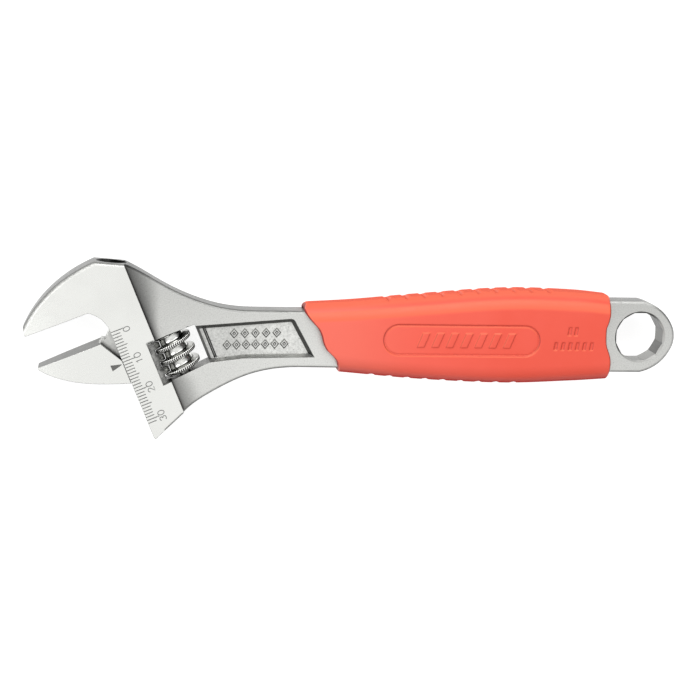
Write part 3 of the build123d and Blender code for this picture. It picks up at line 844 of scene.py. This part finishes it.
def add_bore(bm):
    """The pin's bore with the wider pocket of the spring; returns its first and last circle."""
    steps = [
        (-WORM_HALF, POCKET_RADIUS), (POCKET_TOP, POCKET_RADIUS),
        (POCKET_TOP, WORM_BORE), (WORM_HALF, WORM_BORE),
    ]
    angles = [math.tau * i / BORE_SIDES for i in range(BORE_SIDES)]
    circles = []
    for level, radius in steps:
        circles.append([bm.verts.new((radius * math.cos(t), level, radius * math.sin(t))) for t in angles])
    for low, high in zip(circles, circles[1:]):
        join_loops(bm, low, high)
    return circles[0], circles[-1]


def worm_mesh():
    """Threaded drum with a serrated crest, cut square at both ends and bored for its pin."""
    bm = bmesh.new()
    add_thread(bm)
    rims = [cut_square(bm, side) for side in (-1, 1)]
    for rim, circle in zip(rims, add_bore(bm)):
        pairs = zip(circle, circle[1:] + circle[:1])
        bmesh.ops.triangle_fill(bm, use_beauty=True, edges=rim + [bm.edges.get(pair) for pair in pairs])
    return finished_mesh("worm_screw", bm, worm_place)


# ---------------------------------------------------------------- handle sleeve
# The upper edge, the lower edge and the half thickness, each by X.
SLEEVE_TOP = [(-111.0, 9.4), (-94.0, 10.4), (-72.0, 12.4), (-44.0, 14.6), (-22.0, 14.25), (-9.0, 13.1)]
SLEEVE_BOTTOM = [
    (-111.0, -11.2), (-94.0, -12.65), (-72.0, -14.4),
    (-44.0, -15.45), (-22.0, -14.7), (-9.0, -13.95),
]
SLEEVE_THICK = [(-111.0, 7.25), (-94.0, 7.65), (-72.0, 8.3), (-44.0, 8.68), (-22.0, 8.48), (-9.0, 8.1)]
# Where the sleeve's two ends run, as X for each Y.
FRONT_EDGE = [
    (-13.0, -97.9), (-10.9, -98.1), (-8.6, -98.7), (-7.5, -99.2), (-5.6, -101.1), (-4.6, -102.1),
    (-2.7, -103.1), (0.1, -103.9), (2.0, -104.8), (3.9, -106.5), (5.7, -108.1), (7.4, -109.15),
    (8.6, -109.1), (9.5, -108.4),
]
REAR_EDGE = [
    (-14.2, -10.1), (-12.1, -10.05), (-9.8, -10.0), (-6.8, -10.25), (-4.8, -10.85), (-2.9, -11.6),
    (-1.4, -11.9), (1.0, -12.0), (3.0, -11.95), (4.9, -11.35), (6.8, -10.9), (8.8, -10.75),
    (11.4, -10.7), (13.5, -10.5),
]
SLEEVE_LENGTH = 97.0
SHOULDER_WIDTH = 6.0
SHOULDER_DEPTH = 6.0
# How far the face's middle stands over its rims, and how round the lips at both ends are.
CROWN = 0.25
LIP = 0.8
LIP_STEPS = 7
LENGTH_STEPS = 370
SIDE_STEPS, CORNER_STEPS, FACE_STEPS = 5, 12, 92
# Rows of faces at each end that take the rim's material, and how far the end is let in.
RIM_ROWS = 4
RIM_INSET = 0.25
NOTCH_PITCH = 5.75
NOTCH_DEPTH = 0.75
NOTCH_HALF = 1.25
# The first notch's X and the number of notches.
UPPER_NOTCHES = (-82.3, 10)
LOWER_NOTCHES = (-87.1, 9)
BADGE_LEFT, BADGE_RIGHT, BADGE_MIDDLE, BADGE_HALF = -84.2, -34.0, -1.0, 4.95
BADGE_DEPTH, BADGE_LINE_DEPTH = 0.24, 0.34
# Rows of slanted bars in and beside the badge: number, first X, pitch, Y, half width, half height,
# slant and height over the skin.
BAR_ROWS = [
    (7, -71.5, 4.6, BADGE_MIDDLE, 1.15, 2.35, 0.4, 0.30),
    (2, -24.3, 2.1, 2.2, 0.55, 1.35, 0.15, -0.32),
    (6, -28.7, 2.35, -2.6, 0.55, 1.3, 0.15, -0.32),
]
# The shank inside the sleeve: X where it starts, its length, and its two edges at both ends.
SHANK_START, SHANK_LENGTH = -110.0, 96.0
SHANK_TOP, SHANK_BOTTOM = (7.35, 11.6), (-10.65, -11.6)


def half_section():
    """Stops round the front half of the section, from its upper edge to its lower one.

    Each stop is the part of the section, the side (1 upper, -1 lower) and the share of that part.
    """
    stops = [("side", 1, i / SIDE_STEPS) for i in range(SIDE_STEPS)]
    stops += [("corner", 1, i / CORNER_STEPS) for i in range(CORNER_STEPS)]
    stops += [("face", 1, i / FACE_STEPS) for i in range(FACE_STEPS + 1)]
    stops += [("corner", -1, 1 - i / CORNER_STEPS) for i in range(1, CORNER_STEPS + 1)]
    stops += [("side", -1, 1 - i / SIDE_STEPS) for i in range(1, SIDE_STEPS + 1)]
    return stops


def whole_section():
    """Stops round the whole section, each with its half: 1 front, -1 back."""
    half = half_section()
    return [(*stop, 1) for stop in half] + [(*stop, -1) for stop in reversed(half[1:-1])]


def section_point(kind, side, share, top, bottom, thick):
    """(y, z) of one stop of the section on its front half; the corners are elliptical."""
    edge = top if side > 0 else bottom
    flat = thick - SHOULDER_DEPTH
    if kind == "side":
        return edge, flat * share
    if kind == "corner":
        angle = share * math.pi / 2
        y = edge - side * SHOULDER_WIDTH * (1 - math.cos(angle))
        return y, flat + SHOULDER_DEPTH * math.sin(angle)
    high, low = top - SHOULDER_WIDTH, bottom + SHOULDER_WIDTH
    return high + (low - high) * share, thick


def notch(along, first, count):
    """Depth of the finger notches at a place along the sleeve, from 0 to 1."""
    index = min(max(round((along - first) / NOTCH_PITCH), 0), count - 1)
    distance = abs(along - first - index * NOTCH_PITCH)
    return max(0.0, 1.0 - distance / NOTCH_HALF) ** 1.2


def notch_share(kind, share):
    """Share of the notches' depth: full on the narrow sides, fading out over the shoulders."""
    if kind == "side":
        return 1.0
    if kind == "corner":
        return 1.0 - smooth_step(share, 0.08, 0.34)
    return 0.0


def bar(x, y, middle_x, middle_y, half_width, half_height, slant):
    """Mask of one slanted bar with soft edges."""
    beside = half_width - abs(x - middle_x - slant * (y - middle_y))
    above = half_height - abs(y - middle_y)
    return smooth_step(min(beside, above), -0.1, 0.2)


def badge_relief(x, y):
    """Height of the stadium shaped recess, its plain slanted bars and the small dashes beside it."""
    if abs(y - BADGE_MIDDLE) > BADGE_HALF + 1.5 or not -86.0 < x < -12.0:
        return 0.0
    nearest = min(max(x, BADGE_LEFT + BADGE_HALF), BADGE_RIGHT - BADGE_HALF)
    inside = BADGE_HALF - math.hypot(x - nearest, y - BADGE_MIDDLE)
    relief = -BADGE_DEPTH * smooth_step(inside, -0.1, 0.6)
    relief -= BADGE_LINE_DEPTH * math.exp(-((inside - 0.2) / 0.28) ** 2)
    for count, first, pitch, middle_y, half_width, half_height, slant, rise in BAR_ROWS:
        for index in range(count):
            relief += rise * bar(x, y, first + pitch * index, middle_y, half_width, half_height, slant)
    return relief


def skin_point(length_share, tuck, kind, side, share, front):
    """One point of the outer skin; tuck pulls it in for the rounded lips."""
    y = 0.0
    # The ends are curved, so X depends on Y and Y on X: a few rounds settle both.
    for _ in range(4):
        x = smooth_through(FRONT_EDGE, y) * (1 - length_share) + smooth_through(REAR_EDGE, y) * length_share
        depth = NOTCH_DEPTH * notch_share(kind, share)
        top = smooth_through(SLEEVE_TOP, x) - depth * notch(x, *UPPER_NOTCHES) - tuck
        bottom = smooth_through(SLEEVE_BOTTOM, x) + depth * notch(x, *LOWER_NOTCHES) + tuck
        thick = smooth_through(SLEEVE_THICK, x)
        y, z = section_point(kind, side, share, top, bottom, thick - tuck)
    off_middle = (y - (top + bottom) / 2) / (top - (top + bottom) / 2)
    z -= CROWN * smooth_step(z, thick * 0.5, thick) * off_middle**2
    if kind == "face" and tuck == 0.0:
        z += badge_relief(x, y)
    return Vector((x, y, z * front))


def skin_stations():
    """(share of the length, tuck) of each ring of the skin: a lip, the length and the other lip."""
    lip = []
    for i in range(LIP_STEPS):
        inwards = LIP * (1 - math.cos(math.pi / 2 * i / LIP_STEPS))
        tuck = LIP - math.sqrt(max(0.0, LIP**2 - (LIP - inwards) ** 2))
        lip.append((inwards / SLEEVE_LENGTH, tuck))
    first, last = LIP / SLEEVE_LENGTH, 1 - LIP / SLEEVE_LENGTH
    length = [(first + (last - first) * i / LENGTH_STEPS, 0.0) for i in range(LENGTH_STEPS + 1)]
    return lip + length + [(1 - share, tuck) for share, tuck in reversed(lip)]


def shank_ring(bm, outer, edge, inset):
    """Ring on the shank's surface that closes the sleeve's end."""
    ring = []
    for vert in outer:
        x, y, z = vert.co
        share = (x - SHANK_START) / SHANK_LENGTH
        top = SHANK_TOP[0] + (SHANK_TOP[1] - SHANK_TOP[0]) * share
        bottom = SHANK_BOTTOM[0] + (SHANK_BOTTOM[1] - SHANK_BOTTOM[0]) * share
        y = min(max(y, bottom + 0.02), top - 0.02)
        z = min(max(z, -SHANK_LEVEL), SHANK_LEVEL)
        ring.append(bm.verts.new((smooth_through(edge, y) + inset, y, z)))
    return ring


def sleeve_mesh():
    """Sleeve with rounded shoulders, finger notches, a stadium shaped badge and soft lips at its ends."""
    stops = whole_section()
    bm = bmesh.new()
    rows = []
    for length_share, tuck in skin_stations():
        rows.append([bm.verts.new(skin_point(length_share, tuck, *stop)) for stop in stops])
    front_hole = shank_ring(bm, rows[0], FRONT_EDGE, RIM_INSET)
    rear_hole = shank_ring(bm, rows[-1], REAR_EDGE, -RIM_INSET)
    rows = [front_hole] + rows + [rear_hole]
    for low, high in zip(rows, rows[1:] + rows[:1]):
        join_loops(bm, low, high)
    rim_faces = len(stops) * RIM_ROWS
    skin_faces = len(stops) * (len(rows) - 1)
    bm.faces.ensure_lookup_table()
    for index, face in enumerate(bm.faces):
        in_skin = rim_faces <= index < skin_faces - rim_faces
        face.material_index = 0 if in_skin else 1
    bmesh.ops.dissolve_degenerate(bm, dist=0.0005, edges=bm.edges[:])
    return finished_mesh("grip_sleeve", bm, place)


# ---------------------------------------------------------------- small raised and etched marks
FIGURE_HEIGHT = 2.05
FIGURE_STROKE = 0.26
FIGURE_ADVANCE = 1.9
FIGURE_BASELINE = 5.98
# The figures start just under the head's face and end just over it.
FIGURE_LEVELS = (HEAD_LEVEL - 0.03, HEAD_LEVEL + 0.012)
SCALE_NUMBERS = (("0", -0.6), ("10", -10.4), ("20", -20.3), ("30", -30.15))
# Rows of lozenges on each panel: first X, last X, number and Y where X is STUD_MIDDLE.
STUD_ROWS = [(-131.0, -117.6, 5, 0.05), (-133.2, -115.2, 7, -3.55)]
STUD_MIDDLE = -124.0
STUD_ROW_SLOPE = 0.03
# A lozenge's outlines from its foot to its dished top: half width, half height and rise.
STUD_OUTLINES = [
    (1.5, 1.75, -0.1), (1.42, 1.66, 0.05), (1.0, 1.2, 0.42), (0.62, 0.76, 0.42), (0.3, 0.38, 0.15),
]


def add_ribbon(bm, points, width, levels, closed=False):
    """A flat strip of one width along a path, as a thin closed prism between two levels."""
    count = len(points)
    corners = []
    for i, point in enumerate(points):
        before = points[i - 1] if i > 0 or closed else point
        after = points[(i + 1) % count] if i < count - 1 or closed else point
        direction = (after - before).normalized()
        side = Vector((-direction.y, direction.x)) * width / 2
        spots = (point + side, point - side)
        corners.append([bm.verts.new((*spot, level)) for spot in spots for level in levels])
    for i in range(count if closed else count - 1):
        a, b = corners[i], corners[(i + 1) % count]
        for one, two in ((0, 1), (1, 3), (3, 2), (2, 0)):
            bm.faces.new((a[one], a[two], b[two], b[one]))
    if not closed:
        for end in (corners[0], corners[-1]):
            bm.faces.new((end[0], end[1], end[3], end[2]))


def arc(centre, across, up, start, end, steps=14):
    """Points of an elliptical arc, with angles in degrees."""
    angles = [math.radians(start + (end - start) * i / steps) for i in range(steps + 1)]
    return [Vector((centre[0] + across * math.cos(t), centre[1] + up * math.sin(t))) for t in angles]


# Stroke of each of the scale's figures in a box one unit high, with the baseline at 0.
FIGURES = {
    "0": arc((0.0, 0.5), 0.34, 0.5, 0, 360, 28)[:-1],
    "1": [Vector((-0.18, 0.76)), Vector((0.06, 1.0)), Vector((0.06, 0.0))],
    "2": arc((0.0, 0.72), 0.3, 0.28, 170, -35) + [Vector((-0.3, 0.0)), Vector((0.34, 0.0))],
    "3": arc((0.0, 0.75), 0.28, 0.25, 160, -80) + arc((0.0, 0.26), 0.32, 0.26, 80, -155),
}


def scale_figures_mesh():
    """The scale's figures, which read up the strip with their heads towards its marks."""
    bm = bmesh.new()
    for text, middle in SCALE_NUMBERS:
        for index, figure in enumerate(text):
            along = middle + FIGURE_ADVANCE * (index - (len(text) - 1) / 2)
            start = Vector((FIGURE_BASELINE, along))
            path = [start + FIGURE_HEIGHT * Vector((-point.y, point.x)) for point in FIGURES[figure]]
            add_ribbon(bm, path, FIGURE_STROKE, FIGURE_LEVELS, closed=figure == "0")
    return finished_mesh("scale_figures", bm, head_place)


def add_lozenge(bm, x, y, face):
    """One raised lozenge with sloping sides and a dished top, on the front (1) or the back (-1)."""
    outlines = []
    for wide, tall, rise in STUD_OUTLINES:
        level = (PANEL_LEVEL + rise) * face
        offsets = ((wide, 0), (0, tall), (-wide, 0), (0, -tall))
        outlines.append([bm.verts.new((x + dx, y + dy, level)) for dx, dy in offsets])
    for outer, inner in zip(outlines, outlines[1:]):
        join_loops(bm, outer, inner)
    bm.faces.new(outlines[0])
    bm.faces.new(outlines[-1])


def panel_studs_mesh():
    """Two rows of small raised lozenges on each panel's floor."""
    bm = bmesh.new()
    for first, last, count, level in STUD_ROWS:
        for index in range(count):
            x = first + (last - first) * index / (count - 1)
            y = level + STUD_ROW_SLOPE * (x - STUD_MIDDLE)
            for face in (-1, 1):
                add_lozenge(bm, x, y, face)
    return finished_mesh("panel_studs", bm, place)


# ---------------------------------------------------------------- assembly
def paint_nodes():
    """Gives the CAD nodes that stay visible their materials."""
    looks = {
        "wrench_body": forged_steel(),
        "moving_jaw": jaw_steel(),
        "worm_pin": turned_steel("turned_pin_look", 0.42, 0.55, 0.32),
        "worm_spring": turned_steel("drawn_wire_look", 0.30, 0.45, 0.35),
    }
    for name, material in looks.items():
        node = frame["nodes"][name]
        node.data.materials.clear()
        node.data.materials.append(material)
    return looks


make_camera()
make_floor()
make_world()
make_light("high_softbox", (-0.1, 1.12, 1.0), (1.8, 0.7), 13)
make_light("side_softbox", (-1.0, -0.1, 0.9), (0.5, 0.9), 3)
bpy.context.scene.view_settings.view_transform = "Standard"

looks = paint_nodes()
worm_piece = add_piece(worm_mesh(), worm_chrome(), "screw")
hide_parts("worm")
sleeve_piece = add_piece(sleeve_mesh(), sleeve_rubber(), "root")
sleeve_piece.data.materials.append(sleeve_rim_shade())
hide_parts("handle_grip")
add_piece(scale_figures_mesh(), painted_mark(), "root", smooth=False)
add_piece(panel_studs_mesh(), looks["wrench_body"], "root", smooth=False)
